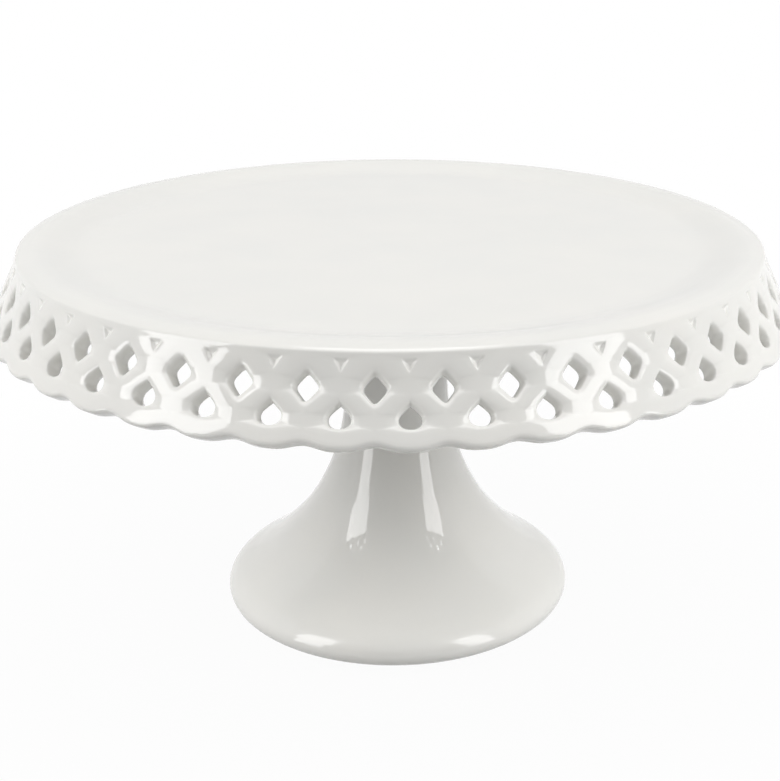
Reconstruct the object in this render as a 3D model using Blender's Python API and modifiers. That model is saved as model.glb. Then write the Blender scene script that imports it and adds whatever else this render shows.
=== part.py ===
"""Pedestal cake stand in white glazed porcelain, made as a pierced plate screwed to a hollow foot.

Units are metres and +Z is up. The origin is on the axis, in the plane that the foot stands on.
The plate and its pierced skirt are one casting, and the pedestal is another. A socket screw goes up
through the pedestal's crown into a brass insert that is cemented under the middle of the plate.
"""

import math

import bmesh
import bpy
from mathutils import Matrix, Vector

# Driving dimensions of the plate
RIM_Z = 0.1430
CREST_RADIUS = 0.1260
SHOULDER_RADIUS = 0.1293
SHOULDER_DROP = 0.0015
SKIRT_WALL = 0.0058
LIP_CENTRE_RADIUS = 0.1374
LIP_CENTRE_DROP = 0.0238
FLARE_AT_SHOULDER = math.radians(20.0)
FLARE_AT_HEM = math.radians(33.0)
DISH_DEPTH = 0.0028
DISH_FLAT_RADIUS = 0.1120
PLATE_THICKNESS = 0.0057

# The pierced skirt: distances down its slope start at the shoulder
SCALLOPS = 44
PATTERN_TURN = math.radians(2.5)
SCALLOP_DEPTH = 0.0020
LOBE_FLAT = 0.0016
DIAMOND_CENTRE = 0.0099
DIAMOND_WIDTH = 0.0104
DIAMOND_HEIGHT = 0.0110
DROP_TOP = 0.0136
DROP_BOTTOM = 0.0219
DROP_WIDTH = 0.0093
NOTCH_TOP = 0.0010
NOTCH_BOTTOM = 0.0048
NOTCH_WIDTH = 0.0046
NOTCH_DEPTH = 0.0014
CORNER_RADIUS = 0.0012
PIERCING_TAPER = 0.70

# The screwed joint under the plate
FIT_GAP = 0.0003
SEAT_Z = 0.1315
SEAT_RADIUS = 0.0300
SOCKET_RADIUS = 0.0048
SOCKET_DEPTH = 0.0058
GASKET_THICKNESS = 0.0012
CROWN_RADIUS = 0.0268
CROWN_THICKNESS = 0.0070
SCREW_RADIUS = 0.0030
SCREW_HEAD_RADIUS = 0.0050
SCREW_HEAD_HEIGHT = 0.0060
SCREW_REACH = 0.0048
HEX_KEY_WIDTH = 0.0050
HEX_KEY_DEPTH = 0.0030
RUBBER_WASHER = (0.0080, 0.0015)
STEEL_WASHER = (0.0090, 0.0015)

# The pedestal
PEDESTAL_WALL = 0.0039
FOOT_RING = (0.0500, 0.0572)
# Stations of the pedestal's outside as (radius, height), from under the crown to the foot's rolled edge
PEDESTAL_STATIONS = (
    (0.0246, 0.1230),
    (0.0216, 0.1130),
    (0.0194, 0.1000),
    (0.0188, 0.0870),
    (0.0197, 0.0750),
    (0.0220, 0.0635),
    (0.0252, 0.0535),
    (0.0300, 0.0435),
    (0.0357, 0.0348),
    (0.0430, 0.0267),
    (0.0505, 0.0198),
    (0.0565, 0.0155),
    (0.0620, 0.0117),
    (0.0648, 0.0080),
    (0.0645, 0.0042),
    (0.0610, 0.0015),
)

# Facets
PLATE_STEPS = 2 * SCALLOPS
PEDESTAL_STEPS = 48
SMALL_STEPS = 24
MERGE = 0.00001

PITCH = math.tau / SCALLOPS
CROWN_Z = SEAT_Z - GASKET_THICKNESS - 2 * FIT_GAP
CROWN_UNDERSIDE_Z = CROWN_Z - CROWN_THICKNESS


def clear_scene():
    for obj in list(bpy.data.objects):
        bpy.data.objects.remove(obj, do_unlink=True)


def new_collection(name):
    collection = bpy.data.collections.new(name)
    bpy.context.scene.collection.children.link(collection)
    return collection


def new_material(name, colour, roughness, metallic=0.0):
    material = bpy.data.materials.new(name)
    material.use_nodes = True
    shader = material.node_tree.nodes["Principled BSDF"]
    shader.inputs["Base Color"].default_value = (*colour, 1.0)
    shader.inputs["Roughness"].default_value = roughness
    shader.inputs["Metallic"].default_value = metallic
    return material


def turned(name, profile, steps, collection, material, closed=False):
    """A profile of (radius, height) points, top to bottom down its outer side, turned round the Z axis."""
    mesh = bpy.data.meshes.new(name)
    count = len(profile)
    edges = [(i, i + 1) for i in range(count - 1)]
    if closed:
        edges.append((count - 1, 0))
    mesh.from_pydata([(radius, 0.0, height) for radius, height in profile], edges, [])
    mesh.materials.append(material)
    obj = bpy.data.objects.new(name, mesh)
    collection.objects.link(obj)
    screw = obj.modifiers.new("Turn", "SCREW")
    screw.axis = "Z"
    screw.steps = steps
    screw.render_steps = steps
    screw.use_merge_vertices = True
    screw.merge_threshold = MERGE
    return obj


def arc(centre, radius, start, end, count):
    """Points of (radius, height) round a centre, between two angles in degrees, both ends included."""
    points = []
    for i in range(count + 1):
        angle = math.radians(start + (end - start) * i / count)
        points.append((centre[0] + radius * math.cos(angle), centre[1] + radius * math.sin(angle)))
    return points


def smooth_line(stations, spans):
    """A Catmull-Rom curve through the stations, with this many points for each span."""
    ends = [Vector(p) for p in stations]
    ends = [2 * ends[0] - ends[1], *ends, 2 * ends[-1] - ends[-2]]
    points = []
    for before, start, end, after in zip(ends, ends[1:], ends[2:], ends[3:]):
        for i in range(spans):
            t = i / spans
            points.append(
                0.5
                * (
                    2 * start
                    + (end - before) * t
                    + (2 * before - 5 * start + 4 * end - after) * t**2
                    + (3 * start - before - 3 * end + after) * t**3
                )
            )
    points.append(ends[-2])
    return [tuple(p) for p in points]


def offset_line(points, distance):
    """The same line moved sideways, to the left of its direction when distance is negative."""
    moved = []
    for i, point in enumerate(points):
        ahead = Vector(points[min(i + 1, len(points) - 1)])
        behind = Vector(points[max(i - 1, 0)])
        along = (ahead - behind).normalized()
        side = Vector((-along.y, along.x))
        moved.append(tuple(Vector(point) + distance * side))
    return moved


def rounded_outline(corners, radius):
    """An outline whose corners are cut by two points each, the given distance back along both sides."""
    points = []
    for i, corner in enumerate(corners):
        here = Vector(corner)
        for other in (corners[i - 1], corners[(i + 1) % len(corners)]):
            points.append(here + (Vector(other) - here).normalized() * radius)
    return points


def flare(angle):
    """The downward and the outward direction, as (radius, height), of a wall leaning out by this angle."""
    return Vector((math.sin(angle), -math.cos(angle))), Vector((math.cos(angle), math.sin(angle)))


def skirt_line(count, inset=0.0):
    """The skirt's flaring line: an arc-like curve from the shoulder to where the hem's lip starts."""
    shoulder = Vector((SHOULDER_RADIUS, RIM_Z - SHOULDER_DROP))
    lip_centre = Vector((LIP_CENTRE_RADIUS, RIM_Z - LIP_CENTRE_DROP))
    start_down, _ = flare(FLARE_AT_SHOULDER)
    end_down, end_outwards = flare(FLARE_AT_HEM)
    hem = lip_centre + SKIRT_WALL / 2 * end_outwards
    chord = hem - shoulder
    turn = start_down.x * end_down.y - start_down.y * end_down.x
    reach = (chord.x * end_down.y - chord.y * end_down.x) / turn
    knee = shoulder + reach * start_down
    points = []
    for i in range(count + 1):
        t = i / count
        _, outwards = flare(FLARE_AT_SHOULDER + (FLARE_AT_HEM - FLARE_AT_SHOULDER) * t)
        on_face = (1 - t) ** 2 * shoulder + 2 * t * (1 - t) * knee + t**2 * hem
        points.append(tuple(on_face - inset * outwards))
    return points


def skirt_frame():
    """The matrix from (across, down the slope, outwards) to the front of the skirt's outer face."""
    (top_radius, top_z), (hem_radius, hem_z) = skirt_line(1)
    top = Vector((0.0, -top_radius, top_z))
    down = (Vector((0.0, -hem_radius, hem_z)) - top).normalized()
    across = Vector((-1.0, 0.0, 0.0))
    frame = Matrix((across, down, across.cross(down))).transposed().to_4x4()
    return Matrix.Translation(top) @ frame


def skirt_length():
    (top_radius, top_z), (hem_radius, hem_z) = skirt_line(1)
    return math.hypot(hem_radius - top_radius, hem_z - top_z) + SKIRT_WALL / 2


def prism(outline, half_depth):
    """A closed prism from a flat outline: a filled, extruded 2D curve made into a welded mesh."""
    curve = bpy.data.curves.new("Outline", "CURVE")
    curve.dimensions = "2D"
    curve.fill_mode = "BOTH"
    curve.extrude = half_depth
    spline = curve.splines.new("POLY")
    spline.points.add(len(outline) - 1)
    for point, place in zip(spline.points, outline):
        point.co = (place[0], place[1], 0.0, 1.0)
    spline.use_cyclic_u = True
    holder = bpy.data.objects.new("Outline", curve)
    bpy.context.scene.collection.objects.link(holder)
    graph = bpy.context.evaluated_depsgraph_get()
    mesh = bpy.data.meshes.new_from_object(holder.evaluated_get(graph))
    bpy.data.objects.remove(holder, do_unlink=True)
    shape = bmesh.new()
    shape.from_mesh(mesh)
    bmesh.ops.remove_doubles(shape, verts=shape.verts, dist=MERGE)
    bmesh.ops.recalc_face_normals(shape, faces=shape.faces)
    bpy.data.meshes.remove(mesh)
    return shape


def piercing(outline, centre, half_depth):
    """A prism that narrows inwards, so that an opening is widest at the outer face."""
    shape = prism(outline, half_depth)
    middle = Vector((*centre, 0.0))
    for vertex in shape.verts:
        if vertex.co.z < 0.0:
            height = vertex.co.z
            vertex.co = middle + (vertex.co - middle) * PIERCING_TAPER
            vertex.co.z = height
    return shape


def diamond_outline():
    half_width = DIAMOND_WIDTH / 2
    half_height = DIAMOND_HEIGHT / 2
    corners = (
        (0.0, DIAMOND_CENTRE - half_height),
        (half_width, DIAMOND_CENTRE),
        (0.0, DIAMOND_CENTRE + half_height),
        (-half_width, DIAMOND_CENTRE),
    )
    return rounded_outline(corners, CORNER_RADIUS)


def drop_outline():
    """A pointed top over a round bottom, the bottom being half an ellipse."""
    half_width = DROP_WIDTH / 2
    bowl_height = (DROP_BOTTOM - DROP_TOP) * 0.42
    bowl_top = DROP_BOTTOM - bowl_height
    points = [(0.0, DROP_TOP)]
    for i in range(7):
        angle = math.pi * i / 6
        points.append((half_width * math.cos(angle), bowl_top + bowl_height * math.sin(angle)))
    return points


def notch_outline():
    half_width = NOTCH_WIDTH / 2
    corners = ((-half_width, NOTCH_TOP), (half_width, NOTCH_TOP), (0.0, NOTCH_BOTTOM))
    return rounded_outline(corners, CORNER_RADIUS / 2)


def valley_outline():
    """The space between two lobes of the hem: two arcs that meet in a cusp, closed below the hem."""
    half_pitch = (LIP_CENTRE_RADIUS + SKIRT_WALL / 2) * PITCH / 2
    lobe_radius = (half_pitch**2 + SCALLOP_DEPTH**2) / (2 * SCALLOP_DEPTH)
    tip = skirt_length()
    reach = half_pitch - LOBE_FLAT / 2
    below = tip + SCALLOP_DEPTH
    side = []
    for i in range(4):
        from_lobe = half_pitch - reach * i / 3
        drop = lobe_radius - math.sqrt(lobe_radius**2 - from_lobe**2)
        side.append((half_pitch - from_lobe, tip - drop))
    mirrored = [(-across, down) for across, down in side[1:]]
    return [(-reach, below), *reversed(mirrored), *side, (reach, below)]


def ring_of_cutters(name, shape, turn, collection):
    """One hidden mesh with a copy of the shape at every scallop, the first turned by this angle."""
    unit = bpy.data.meshes.new(name)
    shape.transform(skirt_frame())
    shape.to_mesh(unit)
    shape.free()
    ring = bmesh.new()
    for i in range(SCALLOPS):
        copy = unit.copy()
        copy.transform(Matrix.Rotation(PATTERN_TURN + turn + PITCH * i, 4, "Z"))
        ring.from_mesh(copy)
        bpy.data.meshes.remove(copy)
    ring.to_mesh(unit)
    ring.free()
    cutter = bpy.data.objects.new(name, unit)
    cutter.hide_render = True
    cutter.display_type = "WIRE"
    collection.objects.link(cutter)
    return cutter


def cut(obj, cutter):
    boolean = obj.modifiers.new(cutter.name, "BOOLEAN")
    boolean.operation = "DIFFERENCE"
    boolean.object = cutter


def plate_profile():
    """The plate's section, from the middle of the top, over the rim and skirt, to the insert's socket."""
    top_z = RIM_Z - DISH_DEPTH
    underside_z = top_z - PLATE_THICKNESS
    outer_face = skirt_line(2)
    inner_face = skirt_line(2, SKIRT_WALL)
    lip_centre = (LIP_CENTRE_RADIUS, RIM_Z - LIP_CENTRE_DROP)
    tilt = math.degrees(FLARE_AT_HEM)
    lip = arc(lip_centre, SKIRT_WALL / 2, tilt, tilt - 180.0, 5)
    crest_half = (CREST_RADIUS + DISH_FLAT_RADIUS) / 2
    return [
        (0.0, top_z),
        (DISH_FLAT_RADIUS, top_z),
        (crest_half, RIM_Z - DISH_DEPTH / 2),
        (CREST_RADIUS, RIM_Z),
        (CREST_RADIUS + 0.0020, RIM_Z - 0.0004),
        (SHOULDER_RADIUS - 0.0003, RIM_Z - 0.0009),
        *outer_face[:-1],
        *lip,
        inner_face[1],
        (inner_face[1][0] - 0.0050, underside_z),
        (SEAT_RADIUS + 0.0020, underside_z),
        (SEAT_RADIUS, underside_z - 0.0012),
        (SEAT_RADIUS, SEAT_Z + 0.0008),
        (SEAT_RADIUS - 0.0008, SEAT_Z),
        (SOCKET_RADIUS, SEAT_Z),
        (SOCKET_RADIUS, SEAT_Z + SOCKET_DEPTH),
        (0.0, SEAT_Z + SOCKET_DEPTH),
    ]


def make_plate(parts, cutters, glaze):
    plate = turned("plate", plate_profile(), PLATE_STEPS, parts, glaze)
    through = 1.6 * SKIRT_WALL
    shapes = (
        ("hem_valleys", prism(valley_outline(), through), PITCH / 2),
        ("diamond_piercings", piercing(diamond_outline(), (0.0, DIAMOND_CENTRE), through), PITCH / 2),
        ("drop_piercings", piercing(drop_outline(), (0.0, (DROP_TOP + DROP_BOTTOM) / 2), through), 0.0),
        ("rim_notches", prism(notch_outline(), NOTCH_DEPTH), 0.0),
    )
    for name, shape, turn in shapes:
        cut(plate, ring_of_cutters(name, shape, turn, cutters))
    return plate


def make_pedestal(parts, glaze):
    """The hollow foot: its outside follows the stations, and its wall is even up to the thick crown."""
    outside = smooth_line(PEDESTAL_STATIONS, 1)
    hollow = [point for point in outside if point[0] < FOOT_RING[0] - PEDESTAL_WALL / 2]
    inside = offset_line(hollow, -PEDESTAL_WALL)
    crown_edge = 0.0010
    hole = SCREW_RADIUS + 2 * FIT_GAP
    profile = [
        (hole, CROWN_Z),
        (CROWN_RADIUS - crown_edge, CROWN_Z),
        (CROWN_RADIUS, CROWN_Z - crown_edge),
        (CROWN_RADIUS, CROWN_Z - 0.0022),
        *outside,
        (FOOT_RING[1], 0.0),
        (FOOT_RING[0], 0.0),
        (FOOT_RING[0] - crown_edge, 0.0030),
        *[point for point in reversed(inside) if point[1] < CROWN_UNDERSIDE_Z - 0.004],
        (inside[0][0] - 0.0015, CROWN_UNDERSIDE_Z),
        (hole, CROWN_UNDERSIDE_Z),
    ]
    return turned("pedestal", profile, PEDESTAL_STEPS, parts, glaze, closed=True)


def make_ring(name, inner, outer, top, thickness, parts, material):
    bottom = top - thickness
    profile = [(inner, top), (outer, top), (outer, bottom), (inner, bottom)]
    return turned(name, profile, SMALL_STEPS, parts, material, closed=True)


def make_screw(head_top, parts, cutters, steel):
    """A socket cap screw, head down: a turned shank and head with a hexagon cut up into the head."""
    tip = SEAT_Z + SCREW_REACH
    chamfer = 0.0005
    head_bottom = head_top - SCREW_HEAD_HEIGHT
    profile = [
        (0.0, tip),
        (SCREW_RADIUS - chamfer, tip),
        (SCREW_RADIUS, tip - chamfer),
        (SCREW_RADIUS, head_top),
        (SCREW_HEAD_RADIUS, head_top),
        (SCREW_HEAD_RADIUS, head_bottom + chamfer),
        (SCREW_HEAD_RADIUS - chamfer, head_bottom),
        (0.0, head_bottom),
    ]
    screw = turned("clamp_screw", profile, SMALL_STEPS, parts, steel)
    key = bmesh.new()
    corner_radius = HEX_KEY_WIDTH / math.sqrt(3.0)
    bmesh.ops.create_cone(
        key,
        cap_ends=True,
        segments=6,
        radius1=corner_radius,
        radius2=corner_radius,
        depth=2 * HEX_KEY_DEPTH,
        matrix=Matrix.Translation((0.0, 0.0, head_bottom)),
    )
    mesh = bpy.data.meshes.new("hex_key")
    key.to_mesh(mesh)
    key.free()
    cutter = bpy.data.objects.new("hex_key", mesh)
    cutter.hide_render = True
    cutter.display_type = "WIRE"
    cutters.objects.link(cutter)
    cut(screw, cutter)
    return screw


def make_fastening(parts, cutters):
    """The pieces of the screwed joint, from the insert in the plate down to the screw's head."""
    brass = new_material("brass", (0.72, 0.55, 0.25), 0.35, 1.0)
    steel = new_material("zinc_plated_steel", (0.62, 0.63, 0.65), 0.38, 1.0)
    silicone = new_material("clear_silicone", (0.86, 0.86, 0.84), 0.55)
    rubber = new_material("black_rubber", (0.03, 0.03, 0.03), 0.75)
    bore = SCREW_RADIUS + FIT_GAP
    insert_top = SEAT_Z + SOCKET_DEPTH - FIT_GAP
    insert_radius = SOCKET_RADIUS - FIT_GAP
    make_ring("threaded_insert", bore, insert_radius, insert_top, SOCKET_DEPTH - FIT_GAP, parts, brass)
    gasket_top = SEAT_Z - FIT_GAP
    make_ring("seat_gasket", SOCKET_RADIUS, CROWN_RADIUS - 0.001, gasket_top, GASKET_THICKNESS, parts, silicone)
    level = CROWN_UNDERSIDE_Z - FIT_GAP
    for name, (radius, thickness), material in (
        ("rubber_washer", RUBBER_WASHER, rubber),
        ("steel_washer", STEEL_WASHER, steel),
    ):
        make_ring(name, bore, radius, level, thickness, parts, material)
        level -= thickness + FIT_GAP
    make_screw(level, parts, cutters, steel)


def main():
    clear_scene()
    parts = new_collection("cake_stand")
    cutters = new_collection("cutters")
    glaze = new_material("white_glaze", (0.86, 0.86, 0.84), 0.12)
    make_plate(parts, cutters, glaze)
    make_pedestal(parts, glaze)
    make_fastening(parts, cutters)


main()
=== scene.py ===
"""Looks of a pedestal cake stand in white glazed porcelain.

The plate with its pierced skirt, the trumpet foot and the pieces of the clamp under the plate are each
a class that works its surface out as arrays. Finishes dress the pieces, and a white studio stands round
them. Lengths are metres, +Z is up, and the front of the stand faces -Y.
"""

import logging
import math
from collections.abc import Callable
from dataclasses import dataclass, field
from enum import Enum

import bmesh
import bpy
import numpy as np
from mathutils import Matrix
from numpy.typing import NDArray


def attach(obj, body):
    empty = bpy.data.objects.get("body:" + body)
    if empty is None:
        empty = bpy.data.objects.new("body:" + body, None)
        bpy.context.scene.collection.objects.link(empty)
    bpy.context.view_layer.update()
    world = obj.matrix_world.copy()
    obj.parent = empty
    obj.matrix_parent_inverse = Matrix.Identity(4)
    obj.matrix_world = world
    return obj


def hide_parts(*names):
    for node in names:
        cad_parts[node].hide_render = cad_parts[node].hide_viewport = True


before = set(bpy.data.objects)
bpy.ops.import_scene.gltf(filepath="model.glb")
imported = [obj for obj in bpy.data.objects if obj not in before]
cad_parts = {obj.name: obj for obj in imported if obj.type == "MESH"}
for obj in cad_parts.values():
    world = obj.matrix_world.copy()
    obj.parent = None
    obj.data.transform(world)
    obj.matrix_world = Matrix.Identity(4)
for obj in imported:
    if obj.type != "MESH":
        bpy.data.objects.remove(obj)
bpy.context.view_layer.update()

logging.basicConfig(level=logging.INFO, format="%(levelname)s %(message)s")
LOG = logging.getLogger("cake_stand")

Array = NDArray[np.float64]
Point = tuple[float, float] | Array
Colour = tuple[float, float, float]
Reach = Callable[[Array], Array]
Socket = bpy.types.NodeSocket

BODY = "root"
MM = 0.001
# Points that are closer than this become one.
WELD = 1.0e-6
# The span that most values of a noise lie in.
NOISE_SPAN = (0.3, 0.7)


class Slot(Enum):
    """The record's material slots."""

    GLAZE = "white_glaze"
    SILICONE = "clear_silicone"
    BRASS = "brass"
    RUBBER = "black_rubber"
    STEEL = "zinc_plated_steel"


@dataclass
class Skin:
    """Grids of points that are gathered into one welded surface."""

    points: list[Array] = field(default_factory=list)
    quads: list[NDArray[np.int64]] = field(default_factory=list)
    count: int = 0

    def add(self, grid: Array, closed: bool = False) -> None:
        """Adds grids of points, with a face between each four neighbours.

        Args:
            grid: Points of shape (..., rows, columns, 3); leading axes are separate grids.
            closed: Whether the last row meets the first one.
        """
        rows, columns = grid.shape[-3:-1]
        index = np.arange(grid.size // 3).reshape(-1, rows, columns) + self.count
        if closed:
            index = np.concatenate([index, index[:, :1]], axis=1)
        corners = (index[:, :-1, :-1], index[:, 1:, :-1], index[:, 1:, 1:], index[:, :-1, 1:])
        self.points.append(grid.reshape(-1, 3))
        self.quads.append(np.stack(corners, axis=-1).reshape(-1, 4))
        self.count += grid.size // 3

    def make(self, name: str) -> bpy.types.Object:
        """Welds the grids, drops faces that shrank to nothing and makes the object.

        Args:
            name: The name of the object and its mesh.

        Returns:
            The new object, linked to the scene, smooth and with its faces outwards.
        """
        points = np.concatenate(self.points)
        quads = np.concatenate(self.quads)
        keys = np.round(points / WELD).astype(np.int64)
        _, first, back = np.unique(keys, axis=0, return_index=True, return_inverse=True)
        quads = back.reshape(-1)[quads]
        # A quad with two corners in one place is a triangle, and one that shrank further is dropped.
        distinct = quads != np.roll(quads, -1, axis=1)
        corners = distinct.sum(axis=1)
        whole = quads[corners == 4]
        pinched = corners == 3
        triangles = quads[pinched][distinct[pinched]].reshape(-1, 3)
        mesh = bpy.data.meshes.new(name)
        mesh.from_pydata(points[first].tolist(), [], whole.tolist() + triangles.tolist())
        shape = bmesh.new()
        shape.from_mesh(mesh)
        bmesh.ops.recalc_face_normals(shape, faces=shape.faces)
        shape.to_mesh(mesh)
        shape.free()
        mesh.shade_smooth()
        piece = bpy.data.objects.new(name, mesh)
        bpy.context.scene.collection.objects.link(piece)
        return piece


def one_skin(name: str, grid: Array) -> bpy.types.Object:
    """Makes an object of a single grid.

    Args:
        name: The object's name.
        grid: Points of shape (rows, columns, 3).

    Returns:
        The object.
    """
    skin = Skin()
    skin.add(grid)
    return skin.make(name)


def spin(radius: Array, height: Array, angle: Array) -> Array:
    """Points round the Z axis: (r sin a, -r cos a, z), so that the angle 0 is the front.

    Args:
        radius: Distances from the axis.
        height: Heights.
        angle: Angles round the axis. The three arrays are stretched to one shape.

    Returns:
        Points of that shape, with a last axis of 3.
    """
    x, y, z = np.broadcast_arrays(radius * np.sin(angle), -radius * np.cos(angle), height)
    return np.stack([x, y, z], axis=-1)


def turned(profile: Array, columns: int) -> Array:
    """A profile turned once round the Z axis.

    Args:
        profile: Points of shape (count, 2), as radius and height.
        columns: The number of steps round the axis; the last column repeats the first one.

    Returns:
        A grid of shape (columns + 1, count, 3).
    """
    angle = np.linspace(0.0, math.tau, columns + 1)[:, None]
    return spin(profile[:, 0], profile[:, 1], angle)


def bezier(start: Point, knee: Point, end: Point, count: int) -> Array:
    """A quadratic curve: (1-u)^2 start + 2u(1-u) knee + u^2 end, for u from 0 to 1.

    Args:
        start: The first point, as radius and height.
        knee: The point that both end tangents aim at.
        end: The last point.
        count: The number of spans.

    Returns:
        Points of shape (count + 1, 2).
    """
    u = np.linspace(0.0, 1.0, count + 1)[:, None]
    return (1 - u) ** 2 * np.array(start) + 2 * u * (1 - u) * np.array(knee) + u**2 * np.array(end)


def arc(centre: Point, radius: float, start: float, end: float, count: int) -> Array:
    """Points of a circle: centre + radius (cos a, sin a), for angles a from start to end.

    Args:
        centre: The circle's centre, as radius and height.
        radius: The circle's radius.
        start: The first angle in degrees.
        end: The last angle in degrees.
        count: The number of spans.

    Returns:
        Points of shape (count + 1, 2).
    """
    angle = np.radians(np.linspace(start, end, count + 1))
    return np.stack([centre[0] + radius * np.cos(angle), centre[1] + radius * np.sin(angle)], axis=-1)


def smooth_line(stations: Array, spans: int) -> Array:
    """A Catmull-Rom curve through the stations, worked out for all spans at once.

    Args:
        stations: Points of shape (count, 2).
        spans: The number of steps between two stations.

    Returns:
        Points of shape ((count - 1) * spans + 1, 2).
    """
    ends = np.concatenate([2 * stations[:1] - stations[1:2], stations, 2 * stations[-1:] - stations[-2:-1]])
    before, start, end, after = (ends[i : len(ends) - 3 + i, None] for i in range(4))
    u = (np.arange(spans) / spans)[None, :, None]
    curve = 0.5 * (
        2 * start
        + (end - before) * u
        + (2 * before - 5 * start + 4 * end - after) * u**2
        + (3 * start - before - 3 * end + after) * u**3
    )
    return np.concatenate([curve.reshape(-1, 2), stations[-1:]])


def offset_line(line: Array, distance: float) -> Array:
    """The line moved sideways along its normal, which is its tangent turned by a right angle.

    Args:
        line: Points of shape (count, 2).
        distance: How far the line moves.

    Returns:
        Points of the same shape.
    """
    along = np.gradient(line, axis=0)
    along /= np.linalg.norm(along, axis=1, keepdims=True)
    return line + distance * np.stack([-along[:, 1], along[:, 0]], axis=-1)


def eased(value: Array) -> Array:
    """The smooth step 3v^2 - 2v^3 of a value kept between 0 and 1."""
    value = np.clip(value, 0.0, 1.0)
    return value * value * (3 - 2 * value)


def joined(sides: list[Array], sharpness: float) -> Array:
    """How far an outline reaches in each direction, by the power mean of its sides.

    A side is given as 1 over the distance at which each direction meets it. The largest one counts, and
    the mean of a high power stays close to it with a small round at each corner.

    Args:
        sides: The sides, each over all directions.
        sharpness: The power of the mean.

    Returns:
        The distances.
    """
    return np.sum(np.maximum(np.stack(sides), 0.0) ** sharpness, axis=0) ** (-1.0 / sharpness)


def diamond_reach(half_width: float, half_height: float, sharpness: float) -> Reach:
    """How far a soft-cornered diamond, |x|/w + |y|/h = 1, reaches in each direction from its centre.

    Args:
        half_width: Half the width between the straight sides' crossings.
        half_height: Half the height, likewise.
        sharpness: The power that joins the sides.

    Returns:
        A function from angles to distances.
    """

    def reach(angle: Array) -> Array:
        """The distance from the centre to the outline at each angle."""
        across, down = np.cos(angle) / half_width, np.sin(angle) / half_height
        return joined([across + down, across - down, -across + down, -across - down], sharpness)

    return reach


def drop_reach(half_width: float, above: float, below: float, sharpness: float = 9.0) -> Reach:
    """How far a drop, pointed above and round below, reaches in each direction from its centre.

    Below the centre it is half an ellipse. Above it a taller half ellipse is cut by two straight sides that
    meet in the point.

    Args:
        half_width: Half the drop's width.
        above: The height of the point above the centre.
        below: The depth of the bowl below the centre.
        sharpness: The power that joins the pieces.

    Returns:
        A function from angles to distances, where positive angles are below the centre.
    """
    dome = 1.25 * above
    side_foot = 1.42 * half_width

    def reach(angle: Array) -> Array:
        """The distance from the centre to the outline at each angle."""
        across, down = np.cos(angle), np.sin(angle)
        bowl = np.sqrt((across / half_width) ** 2 + (down / np.where(down > 0, below, dome)) ** 2)
        return joined([bowl, np.abs(across) / side_foot - down / above], sharpness)

    return reach


def notch_reach(half_width: float, above: float, below: float, sharpness: float = 7.0) -> Reach:
    """How far a triangle with its point down reaches in each direction from its centre.

    Args:
        half_width: Half the width of the triangle's level top side.
        above: The height of the top side above the centre.
        below: The depth of the point below the centre.
        sharpness: The power that joins the sides.

    Returns:
        A function from angles to distances.
    """
    waist = half_width * below / (above + below)

    def reach(angle: Array) -> Array:
        """The distance from the centre to the outline at each angle."""
        across, down = np.cos(angle) / waist, np.sin(angle)
        return joined([-down / above, across + down / below, -across + down / below], sharpness)

    return reach


@dataclass(frozen=True)
class Wave:
    """A line round the skirt that waves once in each scallop: middle + swing cos(2 pi across).

    Attributes:
        middle: Its mean distance down the outer face.
        swing: How much further down it is in the middle of a lobe.
    """

    middle: float
    swing: float = 0.0

    def __call__(self, across: Array) -> Array:
        """The line's distances down at places across."""
        return self.middle + self.swing * np.cos(math.tau * across)


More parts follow.
